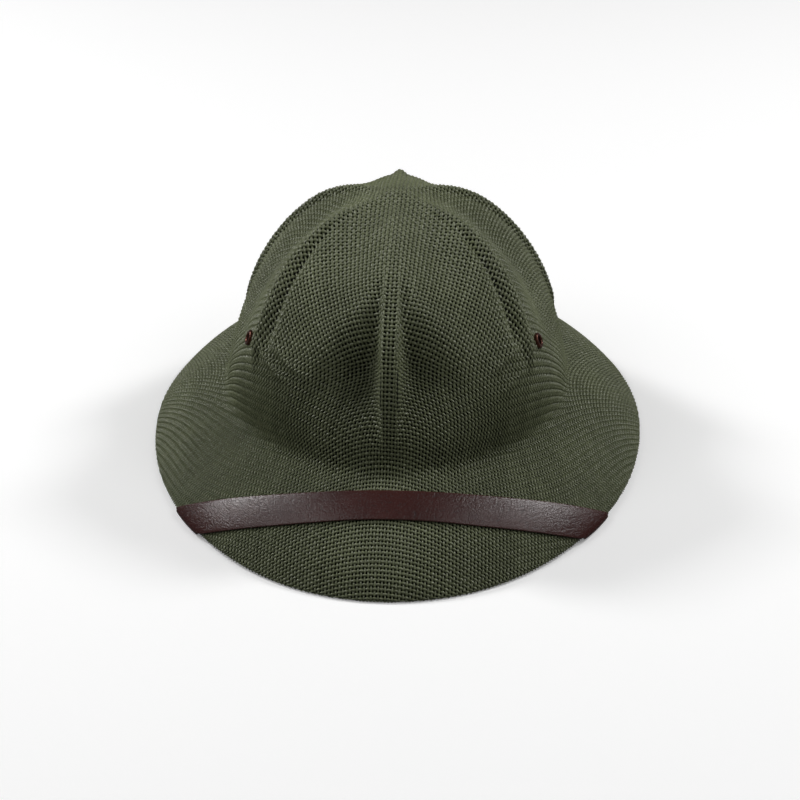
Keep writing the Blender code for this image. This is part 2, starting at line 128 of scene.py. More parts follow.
Dent = namedtuple("Dent", "side width top depth")
DENTS = (
    Dent(side=-1.0, width=31.0, top=0.95, depth=1.0),
    Dent(side=1.0, width=31.0, top=0.95, depth=0.78),
)

# Soft pressing creases, from one azimuth and share of the crown's height to another
Crease = namedtuple("Crease", "azimuth height end_azimuth end_height rise")
CREASES = (
    Crease(azimuth=-52.0, height=0.51, end_azimuth=-31.0, end_height=0.38, rise=1.0),
    Crease(azimuth=-45.0, height=0.56, end_azimuth=-25.0, end_height=0.44, rise=0.9),
    Crease(azimuth=30.0, height=0.46, end_azimuth=49.0, end_height=0.53, rise=0.7),
    Crease(azimuth=32.0, height=0.32, end_azimuth=48.0, end_height=0.41, rise=0.5),
)
CREASE_RISE = 0.0016
CREASE_HALF_WIDTH = 0.0024
CREASE_FADE = 0.3

# Wall
WALL = 0.0020
HEM = 0.0026
HEM_WIDTH = 0.009
HEM_TURN = math.pi * HEM / 2        # the way round the folded edge

# Chin strap
STRAP_WIDTH = 0.0182
STRAP_THICKNESS = 0.0010
STRAP_SHARE = 0.285
STRAP_BOW = 2.1
STRAP_EDGE_AZIMUTH = 45.4
STRAP_FOOT_AZIMUTH = 70.0
STRAP_END_AZIMUTH = 76.0
STRAP_RISE = 0.024
STRAP_GAP = 0.00015
STRAP_EDGE_ROUND = 0.0004
STRAP_CROWNING = 0.00025
STRAP_SLANT_START = 0.35    # share of the way to the brim's edge
STRAP_SLANT_GROW = 0.5

# Eyelets
EYELET_AZIMUTH = 57.0
EYELET_SHARE = 0.445
EYELET_OUTER = 0.0092
EYELET_BORE = 0.0050
EYELET_ROLL = 0.00075
EYELET_STEPS = 48

# Weave
WARP_PITCH = 0.00235        # between the threads that run from front to back
WEFT_PITCH = 0.0026         # between the threads that run from side to side
THREAD_WIDEST = 0.0020
THREAD_HALF_THICKNESS = 0.00058
THREAD_SWING = 0.00052      # how far a thread rises over and dips under the others
THREAD_GAP = 0.00070        # left open between neighbouring threads where they lie on top
THREAD_LEAST = 0.45         # but a thread keeps this share of its room
THREAD_PINCH = 0.40         # how much narrower a thread is where it dips under another
THREAD_VARIES = 0.07        # how much the threads' widths differ
THREAD_UNEVEN = 0.00004     # how much a thread's height differs along its way
THREAD_FACES = 4            # across a thread's visible half
CLOTH_SHEAR = 0.55          # share of the cloth's slack that the slanting threads take up
CLOTH_STRETCH = 0.80        # how much longer the cloth gets on the slant, as a share of that slack
MOST_SLACK = 0.65
FLAT_RADIUS = 0.006         # round the apex, where the slack grows from nothing
CLOTH_TURN = -2.0           # degrees that the cloth lies turned on the form
# the ground's near-black outer face is painted shade for the holes between the threads
GROUND_DEPTH = 0.00150      # the dark ground behind the threads lies this far in
GROUND_WALL = 0.0008
SEED = 11

# Colours
STRAW_DARK = (0.058, 0.069, 0.028, 1.0)
STRAW_LIGHT = (0.122, 0.140, 0.070, 1.0)
# painted highlight where a thread rides over another; where it dips under it stays darker, as painted shade
STRAW_CREST_HIGHLIGHT = (0.205, 0.226, 0.122, 1.0)
# pale flecks: partly the straw's paler fibres, partly painted glints
STRAW_FLECK_AND_GLINT = (0.330, 0.350, 0.245, 1.0)
# painted shade: near-black for the holes between the threads
STRAW_PAINTED_SHADE = (0.0030, 0.0036, 0.0018, 1.0)
# painted shade in the gaps between the threads of the inner side
STRAW_INSIDE_GAP_SHADE = (0.010, 0.012, 0.006, 1.0)
STRAW_INSIDE = (0.105, 0.115, 0.066, 1.0)
LEATHER = (0.050, 0.014, 0.012, 1.0)
LEATHER_PIT = (0.020, 0.006, 0.005, 1.0)
LEATHER_WORN = (0.075, 0.028, 0.022, 1.0)
LACQUER = (0.120, 0.045, 0.030, 1.0)
LACQUER_WORN = (0.33, 0.25, 0.19, 1.0)

# The straw's strands, and its flecks, which are partly painted glints
STRAND_TURN = 2200.0        # radians of a strand's wave for a metre of thread
STRAND_SLANT = 9.0
STRAND_SHIFT = 7.0
FLECKS_PER_METRE = 900.0

# How finely the form is worked out
TABLE_AZIMUTHS = 720
TABLE_STEP = 0.001
FORM_STEPS = (160, 8, 48)   # down the crown, round the cove and out over the brim
GROUND_STEPS = (55, 5, 20)
GROUND_TURN = 2.0           # degrees between the ground's lines
PROBE = 0.0004              # a small step in azimuth or station, to find a normal
CLOTH_PROBE = 0.0006        # the same in metres of cloth
WRAP_PROBE = 0.004          # the same in azimuth, for the strap
UNDOING_STEPS = 16
TINY = 1e-9

# Camera: the photograph's angle
CAMERA_ELEVATION = 32.0
CAMERA_DISTANCE = 1.25
CAMERA_TURN = 2.36
CAMERA_ROLL = -0.64
CAMERA_PIXELS_PER_METRE = 1765.0
CAMERA_AIM = (0.00136, -0.0874, 0.0700)
CAMERA_AIM_RISE = 0.0002    # along the picture's own upright
IMAGE_SIZE = 800
SENSOR = 36.0


def ease(value):
    """Smooth step from 0 to 1."""
    value = np.clip(value, 0.0, 1.0)
    return value * value * (3.0 - 2.0 * value)


def unit(vectors, least=0.0):
    """The vectors brought to length 1; least keeps those without length from breaking it."""
    return vectors / (np.linalg.norm(vectors, axis=-1, keepdims=True) + least)


def degrees_past(degrees, azimuth):
    """Degrees past an azimuth, from -180 to 180."""
    return (degrees - azimuth + 180.0) % 360.0 - 180.0


def oval(azimuth, half_width, front, back, power):
    """Plan radius of an oval whose front and back differ. Azimuth in radians."""
    length = np.where(np.cos(azimuth) > 0.0, front, back)
    across = (np.abs(np.sin(azimuth)) / half_width) ** power
    along = (np.abs(np.cos(azimuth)) / length) ** power
    return (across + along) ** (-1.0 / power)


def around(azimuth, front, side, back):
    """A value that runs smoothly from the front over the sides to the back."""
    end = np.where(np.cos(azimuth) > 0.0, front, back)
    return side + (end - side) * np.cos(azimuth) ** 2


def brim_oval(azimuth):
    """Plan radius of the brim's edge."""
    power = np.where(np.cos(azimuth) > 0.0, BRIM_POWER_FRONT, BRIM_POWER_BACK)
    return oval(azimuth, BRIM_WIDTH / 2, BRIM_FRONT, BRIM_BACK, power)


def crown_oval(azimuth):
    """Plan radius of the crown's foot."""
    return oval(azimuth, CROWN_WIDTH / 2, CROWN_FRONT, CROWN_BACK, CROWN_POWER)


def edge_height(azimuth):
    """Height of the brim's outer edge: down at front and back, slightly up at the sides."""
    from_axis = np.degrees(np.arcsin(np.clip(np.abs(np.sin(azimuth)), 0.0, 1.0)))
    return EDGE_LIFT * ease((from_axis - EDGE_LIFT_START) / (EDGE_LIFT_END - EDGE_LIFT_START))


def foot_height(azimuth):
    """Height of the crown's foot."""
    return around(azimuth, FOOT_FRONT, FOOT_SIDE, FOOT_BACK)


def dome_power(azimuth):
    """How square the dome's upright section is."""
    return around(azimuth, DOME_POWER_FRONT, DOME_POWER_SIDE, DOME_POWER_BACK)


def dome_turn(foot, power):
    """The turn at which the dome reaches the fillet above its foot."""
    return np.arccos((COVE / (CROWN_TOP - foot)) ** (power / 2))


def base_skin(azimuth, station):
    """The pressed form without ribs, gores and dents.

    Station 0 is the apex, 1 the crown's foot above the cove, 2 the brim below it, 3 the edge.
    Returns the point, the share of the way out from the apex and the share of the crown's height.
    """
    foot_radius = crown_oval(azimuth)
    edge_radius = brim_oval(azimuth)
    foot = foot_height(azimuth)
    drop = foot - edge_height(azimuth)
    rise = CROWN_TOP - foot
    power = dome_power(azimuth)

    last_turn = dome_turn(foot, power)
    turn = np.clip(station, 0.0, 1.0) * last_turn
    out = np.sin(turn) ** (2 / power)
    height = np.cos(turn) ** (2 / power)

    brim_start = COVE / np.hypot(edge_radius - foot_radius, drop)
    share = brim_start + (1 - brim_start) * np.clip(station - 2, 0.0, 1.0)

    def brim(at):
        fall = at * (1 - BRIM_ROLL) + BRIM_ROLL * at ** 4
        return foot_radius + (edge_radius - foot_radius) * at, foot - drop * fall

    turn_in = np.clip(station - 1, 0.0, 1.0)
    wall_radius = np.sin(last_turn) ** (2 / power) * foot_radius
    lip_radius, lip_height = brim(brim_start)
    weights = ((1 - turn_in) ** 2, 2 * turn_in * (1 - turn_in), turn_in ** 2)
    cove_radius = weights[0] * wall_radius + weights[1] * foot_radius + weights[2] * lip_radius
    cove_height = weights[0] * (foot + COVE) + weights[1] * foot + weights[2] * lip_height
    brim_radius, brim_height = brim(share)

    on_crown = station <= 1
    radius = np.where(on_crown, out * foot_radius, np.where(station <= 2, cove_radius, brim_radius))
    level = np.where(on_crown, foot + rise * height, np.where(station <= 2, cove_height, brim_height))
    out = np.where(on_crown, out, 1.0)
    height = np.where(on_crown, height, 0.0)
    bow = out * (1 - out) ** 1.5 / BOW_PEAK
    heading = azimuth + math.radians(MERIDIAN_BOW) * np.sin(azimuth) * np.abs(np.sin(azimuth)) * bow
    middle = APEX_BACK * (1 - out ** APEX_POWER)
    point = np.stack([radius * np.sin(heading), middle - radius * np.cos(heading), level], axis=-1)
    return point, out, height


def crease_lift(degrees, height):
    """Height of the soft creases that the press left on the crown's front corners."""
    metres_per_degree = math.radians(1.0) * CROWN_WIDTH / 2
    rise = CROWN_TOP - FOOT_SIDE
    lift = np.zeros_like(degrees)
    for crease in CREASES:
        along = np.array([(crease.end_azimuth - crease.azimuth) * metres_per_degree,
                          (crease.end_height - crease.height) * rise])
        length = np.hypot(*along)
        across = degrees_past(degrees, crease.azimuth) * metres_per_degree
        up = (height - crease.height) * rise
        share = (across * along[0] + up * along[1]) / length ** 2
        off = (across * along[1] - up * along[0]) / length
        fade = ease(share / CREASE_FADE) * ease((1.0 - share) / CREASE_FADE)
        lift += CREASE_RISE * crease.rise * fade * np.exp(-(off / CREASE_HALF_WIDTH) ** 2)
    return lift


def relief(azimuth, out, height):
    """How far ribs, gores, dents and creases lift the skin, along its normal."""
    degrees = np.degrees(azimuth) % 360.0
    lift = np.zeros_like(degrees)
    for rib, after, share in zip(RIBS, RIBS[1:] + RIBS[:1], GORE_SHARES):
        span = (after.azimuth - rib.azimuth) % 360.0
        across = ((degrees - rib.azimuth) % 360.0) / span
        sag = np.sin(math.pi * np.clip(across, 0.0, 1.0)) ** 2
        grown = ease((out - GORE_START) / GORE_GROW) * ease(height / GORE_FADE)
        lift -= GORE_DEPTH * share * sag * grown * (across < 1.0)

    crest = np.zeros_like(degrees)
    front_reach = np.maximum(out, LEAST_FRONT_REACH) * CROWN_FRONT
    for rib in RIBS:
        off = degrees_past(degrees, rib.azimuth)
        half_angle = RIB_HALF_ANGLE * np.maximum(1.0, RIB_SPREAD / np.maximum(out, RIB_LEAST_OUT))
        welt = np.cos(np.clip(off / half_angle, -1.0, 1.0) * math.pi / 2) ** 2
        grown = ease((height - rib.foot) / RIB_FADE)
        crest = np.maximum(crest, RIB_HEIGHT * rib.single * welt * grown * ease(out / RIB_MERGE))
        aside = np.radians(np.abs(off)) * front_reach
        welts = np.exp(-((aside - WELT_GAP) / WELT_HALF_WIDTH) ** 2) * (1 - rib.single)
        crest = np.maximum(crest, WELT_HEIGHT * welts * grown * ease((WELT_TOP - height) / WELT_FADE))
        front_side = off * np.where(rib.azimuth > 180.0, 1.0, -1.0)
        valley = np.exp(-((front_side - VALLEY_OFFSET) / VALLEY_HALF_ANGLE) ** 2)
        grown = ease((height - VALLEY_FOOT) / VALLEY_FADE) * ease((out - VALLEY_START) / VALLEY_GROW)
        lift -= VALLEY_DEPTH * rib.valley * valley * grown
    lift += crest

    start = np.degrees(DENT_START / front_reach)
    for dent in DENTS:
        signed = degrees_past(degrees, 0.0) * dent.side
        across = np.clip((signed - start) / dent.width, 0.0, 1.0)
        bowl = np.sin(math.pi * across ** DENT_LEAN) ** 1.5
        brow = dent.top - DENT_SLANT * across
        down = ease((brow - height) / DENT_BROW) * ease(height / DENT_SILL)
        lift -= DENT_DEPTH * dent.depth * bowl * down
    return lift + crease_lift(degrees, height)


def shaped_skin(azimuth, station):
    """A point of the finished outer skin, before the helmet is stood in its place."""
    point, out, height = base_skin(azimuth, station)
    ahead = base_skin(azimuth, station + PROBE)[0] - base_skin(azimuth, station - PROBE)[0]
    aside = base_skin(azimuth + PROBE, station)[0] - base_skin(azimuth - PROBE, station)[0]
    normal = unit(np.cross(ahead, aside))
    point = point + normal * relief(azimuth, out, height)[..., None]
    from_apex = np.hypot(point[..., 0], point[..., 1] - APEX_BACK)
    point[..., 2] += NUB_HEIGHT * np.exp(-(from_apex / NUB_RADIUS) ** NUB_POWER)
    return point


def skin(azimuth, station):
    """A point of the outer skin and the direction that faces out of the straw there."""
    azimuth, station = np.broadcast_arrays(np.asarray(azimuth, float), np.asarray(station, float))
    station = np.clip(station, 2 * PROBE, 3 - 2 * PROBE)
    ahead = shaped_skin(azimuth, station + PROBE) - shaped_skin(azimuth, station - PROBE)
    aside = shaped_skin(azimuth + PROBE, station) - shaped_skin(azimuth - PROBE, station)
    return shaped_skin(azimuth, station), unit(np.cross(ahead, aside))


# Where the form's own origin stands: the brim's oval centred, the nub at the solid's top
PLACE = np.array([0.0, (BRIM_FRONT - BRIM_BACK) / 2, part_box("helmet_shell")[1].z - CROWN_TOP - NUB_HEIGHT])


def wall_at(azimuth, station):
    """Thickness of the straw: one layer, and two where the hem is folded in."""
    from_edge = (3.0 - station) * (brim_oval(azimuth) - crown_oval(azimuth))
    return HEM + (WALL - HEM) * ease(from_edge / HEM_WIDTH)


def way_down(start, power, crown_steps, cove_steps, brim_steps):
    """Stations from the apex to the brim's edge, closer together at the top for a higher power."""
    return np.concatenate([np.linspace(start, 1, crown_steps + 1) ** power,
                           np.linspace(1, 2, cove_steps + 1)[1:],
                           np.linspace(2, 3, brim_steps + 1)[1:]])


def fold_round(outer, inner, normal, degrees):
    """Half-round lines that join the edges of an outer and an inner skin, one for each turn."""
    past = unit(outer[:, -1] - outer[:, -2])
    middle = (outer[:, -1] + inner) / 2
    half = np.linalg.norm(outer[:, -1] - inner, axis=-1, keepdims=True) / 2
    return [middle + half * (past * math.sin(turn) + normal[:, -1] * math.cos(turn))
            for turn in np.radians(degrees)]


def between(at, ways, line):
    """Points of a line, read between those that it has at the given ways."""
    return np.stack([np.interp(at, ways, line[:, axis]) for axis in range(3)], -1)


def steps_along(line, axis=1):
    """Length of each step along a line of points."""
    return np.linalg.norm(np.diff(line, axis=axis), axis=-1)


Form = namedtuple("Form", "points edge_reach foot_reach slack")


def make_form():
    """The form as a table of points, for each azimuth and each step of the way out.

    The way runs along the skin from the apex down, round the hem and back up the inside. It is
    measured on the form without ribs and dents, which only stretch the cloth where they lie.
    """
    azimuths = np.arange(TABLE_AZIMUTHS) * 2 * math.pi / TABLE_AZIMUTHS
    apex = np.array([0.0, APEX_BACK, CROWN_TOP])
    down = way_down(0.0, 1.5, *FORM_STEPS)
    back_up = np.concatenate([np.linspace(3, 2, 25), np.linspace(2, 1, 9)[1:],
                              np.linspace(1, 0.45, 31)[1:]])
    around_grid, down_grid = np.meshgrid(azimuths, down, indexing="ij")
    outer, outer_normal = skin(around_grid, down_grid)
    plain = base_skin(around_grid, down_grid)[0]
    outer[:, 0], plain[:, 0] = apex + (0.0, 0.0, NUB_HEIGHT), apex
    around_grid, up_grid = np.meshgrid(azimuths, back_up, indexing="ij")
    inner, inner_normal = skin(around_grid, up_grid)
    inner = inner - inner_normal * wall_at(around_grid, up_grid)[..., None]
    plain_inner = base_skin(around_grid, up_grid)[0]
    hem = fold_round(outer, inner[:, 0], outer_normal, np.linspace(15, 165, 11))
    lines = np.concatenate([outer, np.stack(hem, axis=1), inner], axis=1) + PLACE
    hem_steps = np.full((len(azimuths), len(hem) + 1), HEM_TURN / (len(hem) + 1))
    steps = np.concatenate([steps_along(plain), hem_steps, steps_along(plain_inner)], axis=1)
    reach = np.concatenate([np.zeros((len(azimuths), 1)), np.cumsum(steps, axis=1)], axis=1)
    even = np.arange(0.0, reach[:, -1].max(), TABLE_STEP)
    points = np.stack([between(even, *row) for row in zip(reach, lines)])
    plain_points = np.stack([between(even, *row) for row in zip(reach[:, :len(down)], plain)])
    edge_reach = reach[:, len(down) - 1]
    foot_reach = reach[:, FORM_STEPS[0] + FORM_STEPS[1] // 2]
    slack = cloth_slack(plain_points, edge_reach, even)
    return Form(spread_evenly(points, plain_points, edge_reach), edge_reach, foot_reach, slack)


def spread_evenly(points, plain_points, edge_reach):
    """Moves each ring's points round so that ribs and dents stretch the cloth evenly."""
    turns = np.arange(TABLE_AZIMUTHS + 1)
    spread = points.copy()
    for k in range(2, int(edge_reach.min() / TABLE_STEP)):
        shares = []
        for ring in (points[:, k], plain_points[:, k]):
            closed = np.concatenate([ring, ring[:1]])
            way = np.concatenate([[0.0], np.cumsum(steps_along(closed, 0))])
            shares.append(way / way[-1])
        closed = np.concatenate([points[:, k], points[:1, k]])
        even_turns = np.interp(shares[1], shares[0], turns)[:-1]
        spread[:, k] = between(even_turns, turns, closed)
    return spread


def cloth_slack(plain_points, edge_reach, even):
    """How much of the flat cloth's extra width the threads take up, by the way out from the apex."""
    girth = np.linalg.norm(np.diff(plain_points, axis=0, append=plain_points[:1]), axis=-1).sum(axis=0)
    slack = 2 * math.pi * even / np.maximum(girth, 1e-4) - 1
    inner, outer = int(FLAT_RADIUS / TABLE_STEP), int(edge_reach.min() / TABLE_STEP)
    slack[:inner] = slack[inner] * np.arange(inner) / inner
    slack[outer:] = slack[outer]
    return CLOTH_SHEAR * np.clip(slack, 0.0, MOST_SLACK)


def slack_at(form, reach):
    """The slack that the slanting threads take up, at a way out from the apex."""
    return np.interp(reach, np.arange(len(form.slack)) * TABLE_STEP, form.slack)


def polar(right, back):
    """Azimuth and reach of a place given as reach to the right and to the back of the apex."""
    return np.arctan2(right, -back) % (2 * math.pi), np.hypot(right, back)


def table_lines(azimuth):
    """The table's lines on both sides of an azimuth, and the share of the way between them."""
    at = azimuth / (2 * math.pi) * TABLE_AZIMUTHS
    low = np.floor(at).astype(int)
    return low % TABLE_AZIMUTHS, (low + 1) % TABLE_AZIMUTHS, at - low


def lookup_round(values, azimuth):
    """A value kept for each azimuth, read between the table's lines."""
    first, second, part = table_lines(azimuth)
    return values[first] * (1 - part) + values[second] * part


def on_form(form, azimuth, reach):
    """A point of the form, read between the table's lines."""
    first, second, part = table_lines(azimuth)
    part = part[..., None]
    step = np.clip(reach / TABLE_STEP, 0.0, form.points.shape[1] - 1.001)
    near = np.floor(step).astype(int)
    ahead = (step - near)[..., None]
    left = form.points[first, near] * (1 - ahead) + form.points[first, near + 1] * ahead
    right = form.points[second, near] * (1 - ahead) + form.points[second, near + 1] * ahead
    return left * (1 - part) + right * part


def cloth_frame(form, right, back):
    """Point of the form at a place, and the direction that faces out of the cloth there."""
    def at(more_right, more_back):
        return on_form(form, *polar(right + more_right, back + more_back))

    to_right = at(CLOTH_PROBE, 0.0) - at(-CLOTH_PROBE, 0.0)
    to_back = at(0.0, CLOTH_PROBE) - at(0.0, -CLOTH_PROBE)
    normal = np.cross(to_right / (2 * CLOTH_PROBE), to_back / (2 * CLOTH_PROBE))
    return at(0.0, 0.0), unit(normal, TINY)


def lay_cloth(form, warp, weft):
    """Where a crossing of the flat cloth comes to lie: to the right and to the back of the apex.

    The form is narrower round than the flat cloth. The cloth stays square to the form at the
    front, back and sides, and its threads slant between them to take the slack up.
    """
    azimuth, reach = polar(warp * WARP_PITCH, weft * WEFT_PITCH)
    slack = slack_at(form, reach)
    turned = azimuth + slack * np.sin(4 * azimuth) / 4 + math.radians(CLOTH_TURN)
    reach = reach * (1 + CLOTH_STRETCH * slack * np.sin(2 * azimuth) ** 2)
    return reach * np.sin(turned), -reach * np.cos(turned)


def threads_at(form, azimuth, reach):
    """Which warp and weft thread passes at a place of the form: the laid cloth, undone."""
    turned = azimuth - math.radians(CLOTH_TURN)
    flat, flat_reach = turned, reach
    for _ in range(UNDOING_STEPS):
        slack = slack_at(form, flat_reach)
        miss = flat + slack * np.sin(4 * flat) / 4 - turned
        flat = flat - miss / (1 + slack * np.cos(4 * flat))
        flat_reach = reach / (1 + CLOTH_STRETCH * slack * np.sin(2 * flat) ** 2)
    return flat_reach * np.sin(flat) / WARP_PITCH, -flat_reach * np.cos(flat) / WEFT_PITCH


Threads = namedtuple("Threads", "points normals tangents room kept swing")


def lay_threads(form, crosswise):
    """One family of threads on the form, sampled at each crossing and between crossings.

    The warp has a thread for each place from side to side; crosswise gives the weft.
    """
    farthest = form.edge_reach.max() + HEM_TURN + HEM_WIDTH
    warp_count, weft_count = math.ceil(farthest / WARP_PITCH), math.ceil(farthest / WEFT_PITCH)
    across = np.arange(-warp_count, warp_count + 1)
    along = np.arange(-weft_count, weft_count + 1)
    own, other = (along, across) if crosswise else (across, along)
    other = np.arange(other[0] * 2, other[-1] * 2 + 1) / 2
    thread, sample = np.meshgrid(own, other, indexing="ij")
    warp, weft = (sample, thread) if crosswise else (thread, sample)
    right, back = lay_cloth(form, warp.astype(float), weft.astype(float))
    point, normal = cloth_frame(form, right, back)
    tangent = unit(np.gradient(point, axis=1), TINY)
    beside = np.gradient(point, axis=0)
    beside -= tangent * (beside * tangent).sum(-1, keepdims=True)
    room = np.linalg.norm(beside, axis=-1)
    azimuth, reach = polar(right, back)
    fold_end = lookup_round(form.edge_reach, azimuth) + HEM_TURN + HEM_WIDTH
    kept = reach < fold_end
    for side in (-1, 1):
        centre = eyelet_seat(side)[0]
        kept &= np.linalg.norm(point - centre, axis=-1) > (EYELET_BORE + EYELET_OUTER) / 4
    whole = sample == np.floor(sample)
    over = np.where((thread + np.floor(sample)) % 2 == 0, 1.0, -1.0) * (1 if crosswise else -1)
    swing = np.where(whole, over, 0.0)
    return Threads(point, normal, tangent, room, kept, swing)


def eyelet_seat(side):
    """Centre of an eyelet on the outer skin and the direction that it faces."""
    azimuth = np.array(math.radians(EYELET_AZIMUTH * side))
    power = dome_power(azimuth)
    station = np.arccos(EYELET_SHARE ** (power / 2)) / dome_turn(foot_height(azimuth), power)
    point, normal = skin(azimuth, station)
    return point + PLACE, normal


def add_object(name, data):
    """A new object in the scene."""
    holder = bpy.data.objects.new(name, data)
    bpy.context.scene.collection.objects.link(holder)
    return holder


def smooth_piece(name, points, faces, materials, values=()):
    """A piece with smooth shading, and named values for each of its points."""
    mesh = bpy.data.meshes.new(name)
    mesh.from_pydata(points.reshape(-1, 3).tolist(), [], faces)
    for value_name, kind, numbers in values:
        attribute = mesh.attributes.new(value_name, kind, "POINT")
        field = "vector" if kind == "FLOAT_VECTOR" else "value"
        attribute.data.foreach_set(field, np.ascontiguousarray(numbers, dtype=np.float32).ravel())
    mesh.shade_smooth()
    for material in materials:
        mesh.materials.append(material)
    return add_object(name, mesh)


def faces_between_rings(count, size, closed=False):
    """Four-sided faces between each ring of points and the next; closed joins the last to the first."""
    ring, place = np.meshgrid(np.arange(count if closed else count - 1), np.arange(size), indexing="ij")
    after = (place + 1) % size
    first, second = ring * size, (ring + 1) % count * size
    return np.stack([first + place, first + after, second + after, second + place], -1).reshape(-1, 4)


def spin_threads(name, threads, chosen, material, rng):
    """Rounds a run of laid threads out into one mesh."""
    points, normals, tangents, room, kept, swing = [values[chosen] for values in threads]
    count, samples = points.shape[:2]
    own_width = 1 + THREAD_VARIES * rng.standard_normal((count, 1))
    width = np.clip(room - THREAD_GAP, THREAD_LEAST * room, THREAD_WIDEST)
    half = own_width * width / 2 * (1 - THREAD_PINCH * (1 - swing) / 2)
    level = -THREAD_HALF_THICKNESS - THREAD_SWING * (1 - swing)
    level = level + THREAD_UNEVEN * rng.standard_normal((count, samples))
    sideways = np.cross(tangents, normals)
    turns = np.linspace(0.0, math.pi, THREAD_FACES + 1)
    rings = np.stack([points + normals * (level + THREAD_HALF_THICKNESS * math.sin(turn))[..., None]
                      + sideways * (half * math.cos(turn))[..., None] for turn in turns], axis=2)
    tone = rng.standard_normal((count, 1)) * np.ones((1, samples))
    along = np.cumsum(np.linalg.norm(np.diff(points, axis=1, prepend=points[:, :1]), axis=-1), axis=1)

    joined = kept[:, :-1] & kept[:, 1:]
    first = np.arange(count * samples).reshape(count, samples)[:, :-1][joined]
    ring = THREAD_FACES + 1
    near = np.concatenate([first * ring + k for k in range(THREAD_FACES)])
    corners = np.stack([near, near + 1, near + ring + 1, near + ring], axis=-1)
    used, faces = np.unique(corners, return_inverse=True)
    vertices = rings.reshape(-1, 3)[used]

    def per_point(grid):
        return np.repeat(grid.reshape(-1), ring)[used]

    round_share = np.tile(turns / math.pi, count * samples)[used]
    yarn = np.stack([per_point(along), round_share, per_point(tone)], axis=-1)
    values = (("yarn", "FLOAT_VECTOR", yarn), ("swing", "FLOAT", per_point(swing)))
    return smooth_piece(name, vertices, faces.reshape(-1, 4).tolist(), (material,), values)


def weave_cloth(form, material):
    """All the threads, in pieces of neighbouring threads."""
    rng = np.random.default_rng(SEED)
    pieces = []
    families = (("warp", False, ("left", "middle", "right")),
                ("weft", True, ("front", "middle", "back")))
    for family, crosswise, parts in families:
        threads = lay_threads(form, crosswise)
        counts = np.cumsum(threads.kept.sum(axis=1))
        cuts = np.searchsorted(counts, counts[-1] * np.arange(len(parts) + 1) / len(parts))
        cuts[-1] = len(counts)
        for part, start, stop in zip(parts, cuts, cuts[1:]):
            name = f"{family}_threads_{part}"
            pieces.append(spin_threads(name, threads, slice(start, stop), material, rng))
    return pieces


def make_ground(form, outer_material, inner_material):
    """The closed ground behind the threads, its outer face near-black as painted shade, with the cloth's
    inner side on its inside.
    """
    azimuths = np.radians(np.arange(0, 360, GROUND_TURN))
    down = way_down(0.02, 1.3, *GROUND_STEPS)
    around_grid, station_grid = np.meshgrid(azimuths, down, indexing="ij")
    point, normal = skin(around_grid, station_grid)
    point = point + PLACE
    wall = np.maximum(wall_at(around_grid, station_grid), GROUND_DEPTH + GROUND_WALL)
    outer, inner = point - normal * GROUND_DEPTH, point - normal * wall[..., None]
    hem = fold_round(outer, inner[:, -1], normal, (45, 90, 135))
    rings = np.concatenate([outer.transpose(1, 0, 2), np.stack(hem), inner.transpose(1, 0, 2)[::-1]])
    ring_count, ring_size = rings.shape[:2]
    faces = faces_between_rings(ring_count, ring_size)[:, (0, 3, 2, 1)].tolist()
    apex = rings[0].mean(axis=0), rings[-1].mean(axis=0)
    points = np.concatenate([rings.reshape(-1, 3), np.stack(apex)])
    last = (ring_count - 1) * ring_size
    for k in range(ring_size):
        after = (k + 1) % ring_size
        faces.append((k, after, len(points) - 2))
        faces.append((last + after, last + k, len(points) - 1))

    plain = base_skin(around_grid, station_grid)[0]
    first_reach = np.hypot(plain[:, :1, 0], plain[:, :1, 1] - APEX_BACK)
    reach = np.concatenate([first_reach, first_reach + np.cumsum(steps_along(plain), axis=1)], axis=1)
    warp, weft = threads_at(form, around_grid, reach)
    counts = np.stack([warp, weft, np.zeros_like(warp)], axis=-1).transpose(1, 0, 2)
    counts = np.concatenate([counts, np.stack([counts[-1]] * len(hem)), counts[::-1]]).reshape(-1, 3)
    ends = np.stack([counts[:ring_size].mean(axis=0), counts[-ring_size:].mean(axis=0)])
    counts = np.concatenate([counts, ends])

    piece = smooth_piece("straw_ground", points, faces, (outer_material, inner_material),
                         (("thread_counts", "FLOAT_VECTOR", counts),))
    inside_from = (len(down) + len(hem) - 1) * ring_size
    for polygon in piece.data.polygons:
        polygon.material_index = int(min(polygon.vertices) >= inside_from)
    return piece


def strap_profile():
    """Rounded edges and a slightly crowned face: offsets across and up, as a closed loop."""
    half, top, soft = STRAP_WIDTH / 2, STRAP_THICKNESS, STRAP_EDGE_ROUND
    loop = [(across, top + STRAP_CROWNING * (1 - (across / half) ** 2))
            for across in np.linspace(-half + soft, half - soft, 13)]
    side = [(half - soft + soft * math.cos(turn), top - soft + soft * math.sin(turn))
            for turn in np.radians((60, 30, 0))] + [(half, soft), (half - soft, 0.0)]
    return np.array(loop + side + [(0.0, 0.0)] + [(-across, up) for across, up in side[::-1]])


def brim_length(form, azimuth):
    """Slant length of the brim at an azimuth."""
    foot = on_form(form, azimuth, lookup_round(form.foot_reach, azimuth))
    edge = on_form(form, azimuth, lookup_round(form.edge_reach, azimuth))
    return np.linalg.norm(edge - foot, axis=-1)


